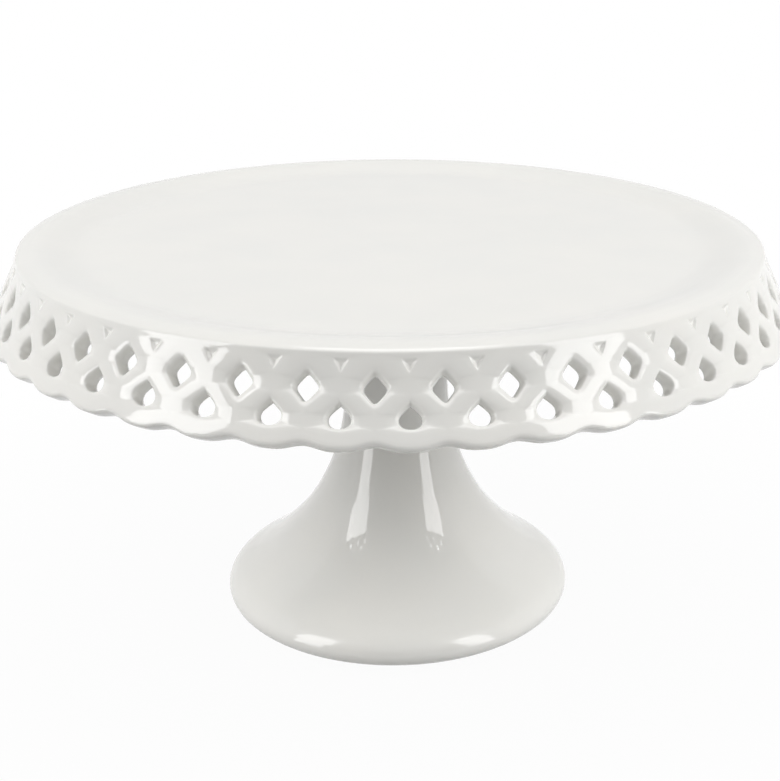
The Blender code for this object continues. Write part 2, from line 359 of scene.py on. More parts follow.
@dataclass(frozen=True)
class Cell:
    """One opening of the skirt with the field of wall round it, in (across, down, depth) terms.

    Across is measured in scallops, down in metres from the shoulder along the outer face, and depth in
    metres from the outer face. The field's edge is shared with the neighbouring cells.

    Attributes:
        centre: The opening's centre, as across and down.
        edge: The field's edge on the outer face.
        inner_edge: The field's edge on the inner face.
        mouth: The opening's outline on the outer face.
        throat: Its outline where the bevel ends.
        throat_depth: The depth of the throat.
        slip: How much lower the throat lies than the mouth.
        sag: How much the field sinks towards the mouth, as depth over distance.
        squeeze: The share of the edge's width that counts when its points are made into angles.
        pitch: The width of one scallop.
        blind: Whether the opening is a dimple that ends at the throat's depth.
    """

    centre: tuple[float, float]
    edge: Array
    inner_edge: Array
    mouth: Reach
    throat: Reach
    throat_depth: float
    slip: float
    sag: float
    squeeze: float
    pitch: float
    blind: bool = False

    def local(self, edge: Array) -> Array:
        """The edge's points as metres from the opening's centre."""
        return np.stack([(edge[:, 0] - self.centre[0]) * self.pitch, edge[:, 1] - self.centre[1]], axis=-1)

    def outline(self, reach: Reach) -> Array:
        """An outline's points, one for each edge point, at angles that are even over the field."""
        near = self.local(self.edge)
        angle = np.arctan2(near[:, 1], near[:, 0] * self.squeeze)
        distance = reach(angle)
        return np.stack([distance * np.cos(angle), distance * np.sin(angle)], axis=-1)

    def rings(self, wall: float) -> tuple[Array, Array]:
        """The cell's section, from its edge over the mouth into the opening, for every edge point.

        The field sinks a little from its edge to the mouth by a parabola, so that the straps are soft
        ridges. From the mouth to the throat a way w from 0 to 1 moves the ring by w (b - (b - 1) w) and
        sinks it by w to the power b, the bevel, so that it starts level and ends steep. A quarter circle
        leads from the throat to the inner face. In a blind opening the ring moves evenly, sinks by the
        squared sine of a quarter turn times w, and closes at the throat's depth.

        Args:
            wall: The thickness of the skirt.

        Returns:
            Places from the centre, of shape (edge points, rings, 2), and depths without the last axis.
        """
        middle = np.array([0.0, self.slip])
        edge, mouth = self.local(self.edge), self.outline(self.mouth)
        throat = self.outline(self.throat) + middle
        inset = np.linspace(0.0, 1.0, 3)[:-1, None, None]
        way = np.linspace(0.0, 1.0, 7)[:, None, None]
        bevel = 1.6
        share = way if self.blind else way * (bevel - (bevel - 1) * way)
        sunk = np.sin(math.pi / 2 * way) ** 2 if self.blind else way**bevel
        sill = self.sag * np.linalg.norm(mouth - edge, axis=1, keepdims=True)
        places = [edge + (mouth - edge) * inset, mouth + (throat - mouth) * share]
        depths = [sill * inset**2, sill + (self.throat_depth - sill) * sunk]
        if self.blind:
            shrink = np.array([0.5, 0.0])[:, None, None]
            places.append(throat * shrink + middle * (1 - shrink))
            depths.append(self.throat_depth)
        else:
            back_round, most_of_room = 1.8 * MM, 0.7
            inner = self.local(self.inner_edge)
            room = np.linalg.norm(inner - throat, axis=1, keepdims=True)
            lip = np.minimum(back_round, most_of_room * room) * (inner - throat) / room
            turn = np.linspace(0.0, math.pi / 2, 3)[:, None, None]
            rest = np.linspace(0.0, 1.0, 3)[1:, None, None]
            places += [throat + lip * (1 - np.cos(turn)), (throat + lip) * (1 - rest) + inner * rest]
            depths += [wall - back_round * (1 - np.sin(turn)), wall]
        depths = [np.broadcast_to(depth, (*place.shape[:2], 1)) for depth, place in zip(depths, places)]
        return np.concatenate(places).transpose(1, 0, 2), np.concatenate(depths)[..., 0].T


@dataclass
class PiercedPlate:
    """The plate: a shallow dish with a raised rim, a flaring lattice skirt and a scalloped hem.

    Heights are measured from the rim. The skirt's lines are distances down its outer face.

    Attributes:
        shoulder: The radius and height at which the rim's round meets the skirt.
        knee_share: How far down to the shoulder the round's knee lies, as a share.
        lip_centre: The middle of the wall where the lip starts, as radius and height.
        flares: How far the skirt leans outwards at its shoulder and at its lip, in degrees.
        turn: The angle of the first lobe.
        columns: The number of steps across one scallop.
        nominal_pitch: The width of a scallop for which the openings are drawn.
        scallop_depth: How far the cusps rise on the outer and on the inner face.
        lip_rounds: The rounds of the lip's outer and inner corner.
        fillet: How far the fillet's knee and its end lie in from the skirt's inner face.
        cove: How far the cove round the seat reaches out, and where it ends over the seat.
        socket: The radius of the insert's socket and the height of its end.
        line: The skirt's outer line, as radii and heights.
        lean: The line's lean at its points.
        down: The distances of its points down the line.
    """

    rim_height: float = 143.0 * MM
    dish_depth: float = 2.8 * MM
    dish_radius: float = 107.0 * MM
    crest_radius: float = 124.0 * MM
    shoulder: tuple[float, float] = (129.3 * MM, -1.5 * MM)
    knee_share: float = 0.37
    lip_centre: tuple[float, float] = (137.4 * MM, -23.8 * MM)
    wall: float = 5.8 * MM
    flares: tuple[float, float] = (20.0, 33.0)
    scallops: int = 44
    turn: float = math.radians(2.5)
    columns: int = 16
    nominal_pitch: float = 19.3 * MM
    shoulder_line: Wave = Wave(0.0)
    notch_line: Wave = Wave(4.4 * MM, 2.4 * MM)
    inner_line: Wave = Wave(5.8 * MM)
    strap_line: Wave = Wave(14.1 * MM, -2.8 * MM)
    band_line: Wave = Wave(21.7 * MM, 0.9 * MM)
    scallop_depth: tuple[float, float] = (1.75 * MM, 1.35 * MM)
    cusp_power: float = 3.2
    lip_rounds: tuple[float, float] = (1.3 * MM, 1.8 * MM)
    lip_reach: float = 3.4 * MM
    lip_run: float = 12.0 * MM
    underside: float = -8.5 * MM
    fillet: tuple[float, float] = (0.6 * MM, 6.0 * MM)
    cove: tuple[float, float] = (3.0 * MM, 1.5 * MM)
    seat: float = -11.5 * MM
    seat_radius: float = 30.0 * MM
    seat_edge: float = 1.0 * MM
    socket: tuple[float, float] = (4.8 * MM, -5.7 * MM)
    line: Array = field(init=False)
    lean: Array = field(init=False)
    down: Array = field(init=False)

    def __post_init__(self) -> None:
        """Works out the skirt's outer line: its points and lean against the distance down it.

        A quadratic curve leads from the shoulder to the lip. It leans by the first flare where it starts
        and by the second where it ends, and a straight run past the lip is the line's last step.
        """
        lean_top, lean_hem = (math.radians(flare) for flare in self.flares)
        outwards = np.array([math.cos(lean_hem), math.sin(lean_hem)])
        shoulder = np.array(self.shoulder)
        lip = np.array(self.lip_centre) + self.wall / 2 * outwards
        reach = -(lip - shoulder) @ outwards / math.sin(lean_hem - lean_top)
        knee = shoulder + reach * np.array([math.sin(lean_top), -math.cos(lean_top)])
        curve = bezier(shoulder, knee, lip, 200)
        run = lip + self.lip_run * np.array([math.sin(lean_hem), -math.cos(lean_hem)])
        along = np.diff(curve, axis=0)
        lean = np.arctan2(along[:, 0], -along[:, 1])
        self.line = np.concatenate([curve, run[None]])
        self.lean = np.concatenate([[lean_top], (lean[1:] + lean[:-1]) / 2, [lean_hem, lean_hem]])
        steps = np.linalg.norm(np.diff(self.line, axis=0), axis=1)
        self.down = np.concatenate([[0.0], np.cumsum(steps)])

    @property
    def across(self) -> Array:
        """The columns' places across one scallop, from cusp to cusp, where 0 is the middle of the lobe."""
        return np.linspace(-0.5, 0.5, self.columns + 1)

    def angle(self, across: Array) -> Array:
        """The angles of places across, round the axis, with a first axis for the scallops."""
        number = np.arange(self.scallops).reshape(-1, *[1] * across.ndim)
        return self.turn + (across + number) * math.tau / self.scallops

    def section(self, down: Array | float, depth: Array | float) -> tuple[Array, Array]:
        """The radius and height of places that lie in from the outer line along its normal.

        Args:
            down: Distances down the outer line.
            depth: Depths under the outer face.

        Returns:
            The radii, and the heights from the rim.
        """
        lean = np.interp(down, self.down, self.lean)
        radius = np.interp(down, self.down, self.line[:, 0]) - depth * np.cos(lean)
        height = np.interp(down, self.down, self.line[:, 1]) - depth * np.sin(lean)
        return radius, height

    def place(self, across: Array, down: Array, depth: Array) -> Array:
        """Points of every scallop, from places on the skirt.

        Args:
            across: Places across one scallop.
            down: Distances down the outer line.
            depth: Depths under the outer face.

        Returns:
            Points of shape (scallops, ..., 3).
        """
        across, down, depth = np.broadcast_arrays(across, down, depth)
        radius, height = self.section(down, depth)
        return spin(radius, height + self.rim_height, self.angle(across))

    def hem_line(self, across: Array, depth: Array) -> Array:
        """Where the skirt ends: lowest at a lobe, and higher at a soft cusp, more so on the outer face.

        Args:
            across: Places across one scallop.
            depth: Depths under the outer face.

        Returns:
            Distances down the outer line.
        """
        outer, inner = self.scallop_depth
        rise = outer + (inner - outer) * depth / self.wall
        return self.down[-2] + self.lip_reach - rise * np.abs(np.sin(math.pi * across)) ** self.cusp_power

    def field_edge(self, middle: float, top: Wave, bottom: Wave, side_count: int) -> Array:
        """The closed edge of one cell: along its top line, down a side, back along its bottom and up.

        Args:
            middle: The place across of the cell's middle.
            top: The line above the cell.
            bottom: The line below it.
            side_count: The number of steps down each side.

        Returns:
            Points of shape (count, 2), as across and down.
        """
        across = middle + self.across
        over = np.stack([across, top(across)], axis=-1)
        under = np.stack([across, bottom(across)], axis=-1)[::-1]
        share = np.linspace(0.0, 1.0, side_count + 1)[:, None]
        right = over[-1] + (under[0] - over[-1]) * share
        left = under[-1] + (over[0] - under[-1]) * share
        return np.concatenate([over[:-1], right[:-1], under[:-1], left[:-1]])

    def cells(self) -> tuple[Cell, ...]:
        """The openings of one scallop: a diamond at the cusp, a drop in the lobe and a notch above it."""
        drop_edge = self.field_edge(0.0, self.strap_line, self.band_line, 5)
        notch_edge = self.field_edge(0.0, self.shoulder_line, self.notch_line, 3)
        diamond = Cell(
            centre=(0.5, 9.1 * MM),
            edge=self.field_edge(0.5, self.notch_line, self.strap_line, 6),
            inner_edge=self.field_edge(0.5, self.inner_line, self.strap_line, 6),
            mouth=diamond_reach(5.2 * MM, 5.8 * MM, 5.0),
            throat=diamond_reach(3.75 * MM, 4.1 * MM, 4.5),
            throat_depth=3.0 * MM,
            slip=0.8 * MM,
            sag=0.06,
            squeeze=0.55,
            pitch=self.nominal_pitch,
        )
        drop = Cell(
            centre=(0.0, 17.9 * MM),
            edge=drop_edge,
            inner_edge=drop_edge,
            mouth=drop_reach(4.2 * MM, 5.2 * MM, 3.2 * MM),
            throat=drop_reach(3.2 * MM, 3.9 * MM, 2.4 * MM),
            throat_depth=2.8 * MM,
            slip=0.3 * MM,
            sag=0.06,
            squeeze=0.5,
            pitch=self.nominal_pitch,
        )
        notch = Cell(
            centre=(0.0, 3.3 * MM),
            edge=notch_edge,
            inner_edge=notch_edge,
            mouth=notch_reach(2.9 * MM, 2.0 * MM, 2.6 * MM),
            throat=notch_reach(0.5 * MM, 0.35 * MM, 0.5 * MM),
            throat_depth=0.8 * MM,
            slip=-0.1 * MM,
            sag=0.0,
            squeeze=0.3,
            pitch=self.nominal_pitch,
            blind=True,
        )
        return diamond, drop, notch

    def add_lattice(self, skin: Skin) -> None:
        """Adds the cells of every scallop."""
        for cell in self.cells():
            places, depths = cell.rings(self.wall)
            across = cell.centre[0] + places[..., 0] / cell.pitch
            down = cell.centre[1] + places[..., 1]
            skin.add(self.place(across, down, depths), closed=True)

    def add_hem(self, skin: Skin) -> None:
        """Adds the hem: down to its edge, round two corners with a flat between, and up the inner face."""
        across = self.across[:, None]
        outer, inner = self.lip_rounds
        share = np.linspace(0.0, 1.0, 4)
        bend = np.linspace(0.0, math.pi / 2, 6)
        still, turning = np.zeros(3), np.zeros(6)
        sine, cosine = np.sin(bend), np.cos(bend)
        rows = (
            (still, outer * (1 - cosine), self.wall - inner * (1 - sine), still + self.wall),
            (still + outer, outer * (1 - sine), inner * (1 - cosine), still + inner),
            (1 - share[:-1], turning, turning, share[1:]),
        )
        depth, short, above = (np.concatenate(row) for row in rows)
        down = self.hem_line(across, depth) - short
        skin.add(self.place(across, down + (self.band_line(across) - down) * above, depth))

    def add_turned(self, skin: Skin, profile: Array) -> None:
        """Adds a profile turned on the skirt's own columns, so that it meets the lattice.

        Args:
            skin: The plate's surface.
            profile: Points of shape (count, 2), as radius and height from the rim.
        """
        skin.add(spin(profile[:, 0], profile[:, 1] + self.rim_height, self.angle(self.across[:, None])))

    def top_profile(self) -> Array:
        """The dish, the eased rise to the rim's crest and the round over the shoulder."""
        rise = np.linspace(0.0, 1.0, 7)
        radius = self.dish_radius + (self.crest_radius - self.dish_radius) * rise
        slope = np.stack([radius, -self.dish_depth * (1 - eased(rise))], axis=-1)
        knee_height = self.knee_share * self.shoulder[1]
        face_slope = math.tan(math.radians(self.flares[0]))
        knee = (self.shoulder[0] + (self.shoulder[1] - knee_height) * face_slope, knee_height)
        over = bezier((self.crest_radius, 0.0), knee, self.shoulder, 9)
        flat = self.dish_radius * np.array([0.0, 0.5, 0.97])
        middle = np.stack([flat, np.full_like(flat, -self.dish_depth)], axis=-1)
        return np.concatenate([middle, slope, over[1:]])

    def under_profile(self) -> Array:
        """From the skirt's inner face round the fillet, over the underside and the seat to the socket."""
        start = np.array(self.section(self.inner_line.middle, self.wall))
        knee, end = ((start[0] - inwards, self.underside) for inwards in self.fillet)
        fillet = bezier(start, knee, end, 4)
        rim, edge = self.seat_radius, self.seat_edge
        cove_start = (rim + self.cove[0], self.underside)
        cove_end = (rim, self.seat + self.cove[1])
        cove = bezier(cove_start, (rim, self.underside), cove_end, 3)
        corner = arc((rim - edge, self.seat + edge), edge, 0.0, -90.0, 3)
        bore, ceiling = self.socket
        socket = np.array([(bore, self.seat), (bore, ceiling), (0.0, ceiling)])
        return np.concatenate([fillet, cove, corner, socket])

    def build(self) -> bpy.types.Object:
        """Builds the plate as one welded surface."""
        skin = Skin()
        self.add_lattice(skin)
        self.add_hem(skin)
        self.add_turned(skin, self.top_profile())
        self.add_turned(skin, self.under_profile())
        return skin.make("porcelain_plate")


@dataclass
class TrumpetPedestal:
    """The hollow foot: a waisted neck that flares into a rolled edge over a flat foot ring.

    Attributes:
        heel_radius: The inner radius of the foot ring.
        heel_knee: How far in and up from there the heel's knee lies.
        heel_end: How far in and up from there the heel ends.
        hollow_start: How far in from the heel, and at what height, the inner face starts.
        hollow_end: How far under the crown's underside the inner face ends.
        ceiling_fillet: How far out the knee and how far in the end of the fillet under the crown lie.
        stations: The outer face's radii and heights in millimetres, from the crown to the foot ring.
    """

    wall: float = 3.9 * MM
    heel_radius: float = 50.0 * MM
    heel_knee: tuple[float, float] = (1.0 * MM, 0.2 * MM)
    heel_end: tuple[float, float] = (1.2 * MM, 3.0 * MM)
    hollow_start: tuple[float, float] = (2.0 * MM, 6.0 * MM)
    hollow_end: float = 4.0 * MM
    ceiling_fillet: tuple[float, float] = (0.6 * MM, 3.0 * MM)
    crown_radius: float = 26.8 * MM
    crown_height: float = 129.7 * MM
    crown_thickness: float = 7.0 * MM
    crown_edge: float = 1.0 * MM
    hole: float = 3.6 * MM
    columns: int = 192
    stations: tuple[tuple[float, float], ...] = (
        (26.8, 127.6),
        (24.6, 123.0),
        (21.6, 113.0),
        (19.4, 100.0),
        (18.8, 87.0),
        (19.7, 75.0),
        (22.0, 63.5),
        (25.2, 53.5),
        (30.0, 43.5),
        (35.7, 34.8),
        (43.0, 26.7),
        (50.5, 19.8),
        (56.5, 15.5),
        (62.0, 11.7),
        (64.8, 8.0),
        (64.5, 4.2),
        (61.0, 1.5),
        (57.2, 0.0),
    )

    def profile(self) -> Array:
        """The whole section, from the screw hole over the crown, down the outside and up the inside."""
        edge, heel = self.crown_edge, self.heel_radius
        underside = self.crown_height - self.crown_thickness
        crown = arc((self.crown_radius - edge, self.crown_height - edge), edge, 90.0, 0.0, 4)
        outside = smooth_line(np.array(self.stations) * MM, 5)
        knee, end = ((heel - inwards, up) for inwards, up in (self.heel_knee, self.heel_end))
        foot = bezier((heel, 0.0), knee, end, 4)
        inside = offset_line(outside, -self.wall)[::-1]
        radius, height = inside.T
        above_foot = (radius < heel - self.hollow_start[0]) & (height > self.hollow_start[1])
        inside = inside[above_foot & (height < underside - self.hollow_end)]
        last = inside[-1]
        outwards, inwards = self.ceiling_fillet
        ceiling = bezier(last, (last[0] + outwards, underside), (last[0] - inwards, underside), 5)
        hole = np.array([(self.hole, underside), (self.hole, self.crown_height)])
        return np.concatenate([hole[1:], crown, outside, foot, inside, ceiling[1:], hole])

    def build(self) -> bpy.types.Object:
        """Builds the pedestal as one turned surface."""
        return one_skin("porcelain_pedestal", turned(self.profile(), self.columns))


@dataclass(frozen=True)
class Ring:
    """A flat ring.

    Attributes:
        inner: The radius of its bore.
        outer: The radius of its rim.
        thickness: Its thickness.
        rounding: The radius of its edges.
    """

    inner: float
    outer: float
    thickness: float
    rounding: float = 0.0

    def build(self, name: str, top: float) -> bpy.types.Object:
        """Builds the ring with an arc at each corner of its section.

        Args:
            name: The piece's name.
            top: The height of its upper face.

        Returns:
            The piece.
        """
        bend = self.rounding
        near, far = self.inner + bend, self.outer - bend
        high, low = top - bend, top - self.thickness + bend
        corners = (
            arc((far, high), bend, 90.0, 0.0, 3),
            arc((far, low), bend, 0.0, -90.0, 3),
            arc((near, low), bend, 270.0, 180.0, 3),
            arc((near, high), bend, 180.0, 90.0, 3),
        )
        return one_skin(name, turned(np.concatenate([*corners, corners[0][:1]]), 96))


@dataclass
class ClampFastening:
    """The clamp under the plate: insert, gasket, two washers and a socket screw with its thread.

    Attributes:
        seat: The height of the plate's seat.
        gap: The play between neighbouring pieces.
        underside: The height of the underside of the pedestal's crown.
        head: The radius and height of the screw's head.
    """

    seat: float = 131.5 * MM
    gap: float = 0.3 * MM
    gasket: Ring = Ring(4.8 * MM, 25.8 * MM, 1.2 * MM, 0.3 * MM)
    insert: Ring = Ring(3.3 * MM, 4.5 * MM, 5.5 * MM)
    insert_knurls: int = 18
    insert_knurl_depth: float = 0.25 * MM
    rubber: Ring = Ring(3.3 * MM, 8.0 * MM, 1.5 * MM, 0.3 * MM)
    steel: Ring = Ring(3.3 * MM, 9.0 * MM, 1.5 * MM, 0.2 * MM)
    underside: float = 122.7 * MM
    screw_radius: float = 3.0 * MM
    screw_tip: float = 136.3 * MM
    thread_pitch: float = 1.0 * MM
    thread_depth: float = 0.5 * MM
    head: tuple[float, float] = (5.0 * MM, 6.0 * MM)
    head_edge: float = 0.5 * MM
    head_knurls: int = 48
    head_knurl_depth: float = 0.12 * MM
    key_width: float = 5.0 * MM
    key_depth: float = 3.0 * MM

    def build_insert(self) -> bpy.types.Object:
        """The brass insert: a tube whose outside carries crossed knurls, |sin(ka+mz) sin(ka-mz)| high."""
        inner, outer, length = self.insert.inner, self.insert.outer, self.insert.thickness
        columns = 144
        top = self.seat + length
        height = np.linspace(top, self.seat, 25)
        outside = np.stack([np.full_like(height, outer), height], axis=-1)
        bore = np.array([(inner, self.seat), (inner, top)])
        grid = turned(np.concatenate([bore[1:], outside, bore]), columns)
        angle = self.insert_knurls * np.linspace(0.0, math.tau, columns + 1)[:, None]
        rise = (grid[..., 2] - self.seat) / length
        slant = self.insert_knurls / 2 * rise
        knurl = np.abs(np.sin(angle + slant) * np.sin(angle - slant))
        band = eased(rise * 8) * eased((1 - rise) * 8)
        on_outside = np.linalg.norm(grid[..., :2], axis=-1) > outer - WELD
        cut = on_outside * band * (1 - knurl) * self.insert_knurl_depth
        grid[..., :2] *= (1 - cut / outer)[..., None]
        return one_skin("knurled_insert", grid)

    def build_screw(self, head_top: float) -> bpy.types.Object:
        """The socket screw: a helical thread on the shank, a knurled head and a hexagon socket in it.

        The shank's radius falls by half the thread's depth times 1 - cos(2 pi z / pitch - a), and the
        thread runs out at both ends. The socket's outline reaches half the key's width over the cosine of
        the angle from the nearest flat.

        Args:
            head_top: The height of the head's face under the washer.

        Returns:
            The piece.
        """
        columns = 72
        angle = np.linspace(0.0, math.tau, columns + 1)[:, None]
        head_radius, head_height = self.head
        low = head_top - head_height
        rise = np.linspace(self.screw_tip, head_top, 150)
        from_tip, from_head = self.screw_tip - rise, rise - head_top
        run_out = eased(from_tip / (1.2 * MM)) * eased(from_head / (1.5 * MM))
        groove = 0.5 * (1 - np.cos(math.tau * rise / self.thread_pitch - angle))
        point = 0.6 * MM * (1 - eased(from_tip / (0.9 * MM)))
        shank = self.screw_radius - self.thread_depth * groove * run_out - point
        side = np.linspace(head_top, low + self.head_edge, 14)
        band = eased((side - low - 1.6 * MM) / (0.3 * MM))
        knurl = np.abs(np.sin(self.head_knurls / 2 * angle)) * eased((head_top - side) / (0.6 * MM))
        head = head_radius - self.head_knurl_depth * band * (1 - knurl)
        flat = math.pi / 3
        hexagon = self.key_width / 2 / np.cos((angle + flat / 2) % flat - flat / 2)
        corner = head_radius - self.head_edge * np.broadcast_to([0.4, 1.0], (columns + 1, 2))
        end = [corner, 1.06 * hexagon, hexagon, hexagon, 0.0 * hexagon]
        end_height = low + np.array([0.15 * MM, 0.0, 0.0, 0.25 * MM, self.key_depth, self.key_depth])
        radius = np.concatenate([0.0 * angle, shank, head, *end], axis=1)
        height = np.concatenate([[self.screw_tip], rise, side, end_height])
        return one_skin("socket_screw", spin(radius, height, angle))

    def build(self) -> list[tuple[bpy.types.Object, str, Slot]]:
        """Builds all five pieces.

        Returns:
            Each piece with the node that it stands for and its slot.
        """
        level = self.underside - self.gap
        rubber = self.rubber.build("rubber_ring", level)
        level -= self.rubber.thickness + self.gap
        steel = self.steel.build("steel_ring", level)
        level -= self.steel.thickness + self.gap
        gasket = self.gasket.build("silicone_ring", self.seat - self.gap)
        return [
            (self.build_insert(), "threaded_insert", Slot.BRASS),
            (gasket, "seat_gasket", Slot.SILICONE),
            (rubber, "rubber_washer", Slot.RUBBER),
            (steel, "steel_washer", Slot.STEEL),
            (self.build_screw(level), "clamp_screw", Slot.STEEL),
        ]


def set_inputs(node: bpy.types.Node, **values: float | tuple[float, ...]) -> None:
    """Sets a node's inputs; underscores in the names stand for spaces."""
    for label, value in values.items():
        node.inputs[label.replace("_", " ")].default_value = value


def add_node(tree: bpy.types.NodeTree, kind: str, **values: float | tuple[float, ...]) -> bpy.types.Node:
    """Adds a shader node to a tree.

    Args:
        tree: The tree.
        kind: The node's type, without the first part that all shader nodes share.
        values: Values of its inputs.

    Returns:
        The node.
    """
    node = tree.nodes.new(f"ShaderNode{kind}")
    set_inputs(node, **values)
    return node


def join(tree: bpy.types.NodeTree, *pairs: tuple[Socket, Socket]) -> None:
    """Joins each pair of sockets, from its source to its target."""
    for source, target in pairs:
        tree.links.new(source, target)


def calculate(tree: bpy.types.NodeTree, operation: str, first: Socket, second: Socket) -> Socket:
    """Calculates with two numbers.

    Args:
        tree: The tree.
        operation: What is done with the numbers.
        first: The first number.
        second: The second number.

    Returns:
        The result.
    """
    node = add_node(tree, "Math")
    node.operation = operation
    join(tree, (first, node.inputs[0]), (second, node.inputs[1]))
    return node.outputs[0]


class NodeGroups:
    """The effects that several finishes share, each built once as a shader node group."""

    def __init__(self) -> None:
        """Builds the groups."""
        self.unevenness = self.build_unevenness()
        self.specks = self.build_specks()
        self.turning = self.build_turning()

    @staticmethod
    def start(
        name: str, inputs: dict[str, float], outputs: tuple[str, ...]
    ) -> tuple[bpy.types.NodeTree, bpy.types.Node, bpy.types.Node]:
        """Starts a group with a vector input, number inputs and number outputs.

        Args:
            name: The group's name.
            inputs: Names and default values of its number inputs.
            outputs: Names of its outputs.

        Returns:
            The group's tree, its input node and its output node.
        """
        tree = bpy.data.node_groups.new(name, "ShaderNodeTree")
        tree.interface.new_socket("Vector", in_out="INPUT", socket_type="NodeSocketVector")
        for label, value in inputs.items():
            socket = tree.interface.new_socket(label, in_out="INPUT", socket_type="NodeSocketFloat")
            socket.default_value = value
        for label in outputs:
            tree.interface.new_socket(label, in_out="OUTPUT", socket_type="NodeSocketFloat")
        return tree, tree.nodes.new("NodeGroupInput"), tree.nodes.new("NodeGroupOutput")

    def build_unevenness(self) -> bpy.types.NodeTree:
        """Slow and fine waves of a poured glaze: two noises, mixed into one height and one tone."""
        scales = {"Slow Scale": 30.0, "Fine Scale": 220.0}
        tree, given, result = self.start("glaze_unevenness", scales, ("Height", "Tone"))
        slow = add_node(tree, "TexNoise", Detail=1.0)
        fine = add_node(tree, "TexNoise", Detail=2.0)
        mix = add_node(tree, "Math")
        mix.operation = "MULTIPLY_ADD"
        mix.inputs[1].default_value = 0.25
        join(
            tree,
            (given.outputs["Vector"], slow.inputs["Vector"]),
            (given.outputs["Vector"], fine.inputs["Vector"]),
            (given.outputs["Slow Scale"], slow.inputs["Scale"]),
            (given.outputs["Fine Scale"], fine.inputs["Scale"]),
            (fine.outputs[0], mix.inputs[0]),
            (slow.outputs[0], mix.inputs[2]),
            (mix.outputs[0], result.inputs["Height"]),
            (slow.outputs[0], result.inputs["Tone"]),
        )
        return tree

    def build_specks(self) -> bpy.types.NodeTree:
        """Sparse small specks: a dot in each cell of a Voronoi pattern that fades out within the size."""
        tree, given, result = self.start("specks", {"Scale": 60.0, "Size": 0.05}, ("Mask",))
        cells = add_node(tree, "TexVoronoi")
        shade = add_node(tree, "MapRange", From_Min=0.0, To_Min=1.0, To_Max=0.0)
        join(
            tree,
            (given.outputs["Vector"], cells.inputs["Vector"]),
            (given.outputs["Scale"], cells.inputs["Scale"]),
            (cells.outputs["Distance"], shade.inputs["Value"]),
            (given.outputs["Size"], shade.inputs["From Max"]),
            (shade.outputs[0], result.inputs["Mask"]),
        )
        return tree

    def build_turning(self) -> bpy.types.NodeTree:
        """Fine marks of the lathe: a noise that is stretched round the axis and squeezed along it."""
        tree, given, result = self.start("turning_marks", {"Scale": 900.0}, ("Marks",))
        stretch = add_node(tree, "Mapping", Scale=(0.15, 0.15, 3.0))
        noise = add_node(tree, "TexNoise", Detail=3.0)
        join(
            tree,
            (given.outputs["Vector"], stretch.inputs["Vector"]),
            (stretch.outputs[0], noise.inputs["Vector"]),
            (given.outputs["Scale"], noise.inputs["Scale"]),
            (noise.outputs[0], result.inputs["Marks"]),
        )
        return tree


class Bench:
    """A material on the bench: its node tree with short calls to place and join nodes."""

    def __init__(self, name: str) -> None:
        """Starts a material with its shader and object coordinates."""
        self.material = bpy.data.materials.new(name)
        self.material.use_nodes = True
        self.tree = self.material.node_tree
        self.shader = self.tree.nodes["Principled BSDF"]
        self.place = add_node(self.tree, "TexCoord").outputs["Object"]

    def group(self, group: bpy.types.NodeTree, **values: float) -> bpy.types.Node:
        """Places a shared group, fed with object coordinates.

        Args:
            group: The group.
            values: Values of its number inputs.

        Returns:
            The group's node.
        """
        node = add_node(self.tree, "Group")
        node.node_tree = group
        set_inputs(node, **values)
        join(self.tree, (self.place, node.inputs["Vector"]))
        return node

    def ramp(self, value: Socket, low: float, high: float, start: float, end: float) -> Socket:
        """Maps a value that runs from start to end onto low to high."""
        node = add_node(self.tree, "MapRange", From_Min=start, From_Max=end, To_Min=low, To_Max=high)
        join(self.tree, (value, node.inputs["Value"]))
        return node.outputs[0]

    def spread(self, noise: Socket, middle: float) -> Socket:
        """A roughness that varies with a noise, from a little under its middle to a little over it."""
        return self.ramp(noise, middle - 0.06, middle + 0.1, *NOISE_SPAN)

    def blend(self, factor: Socket, first: Colour | Socket, second: Colour) -> Socket:
        """Mixes two colours, of which the first may be a socket."""
        node = add_node(self.tree, "Mix")
        node.data_type = "RGBA"
        join(self.tree, (factor, node.inputs["Factor"]))
        node.inputs[7].default_value = (*second, 1.0)
        if isinstance(first, tuple):
            node.inputs[6].default_value = (*first, 1.0)
        else:
            join(self.tree, (first, node.inputs[6]))
        return node.outputs[2]

    def bump(self, height: Socket, strength: float, distance: float) -> None:
        """Feeds a height to the shader's normal."""
        node = add_node(self.tree, "Bump", Strength=strength, Distance=distance)
        join(self.tree, (height, node.inputs["Height"]), (node.outputs[0], self.shader.inputs["Normal"]))

    def coat(self, colour: Socket, roughness: Socket) -> None:
        """Feeds a colour and a roughness to the shader."""
        inputs = self.shader.inputs
        join(self.tree, (colour, inputs["Base Color"]), (roughness, inputs["Roughness"]))

    def height_above(self) -> Socket:
        """The height of the place above the table."""
        node = add_node(self.tree, "SeparateXYZ")
        join(self.tree, (self.place, node.inputs[0]))
        return node.outputs["Z"]


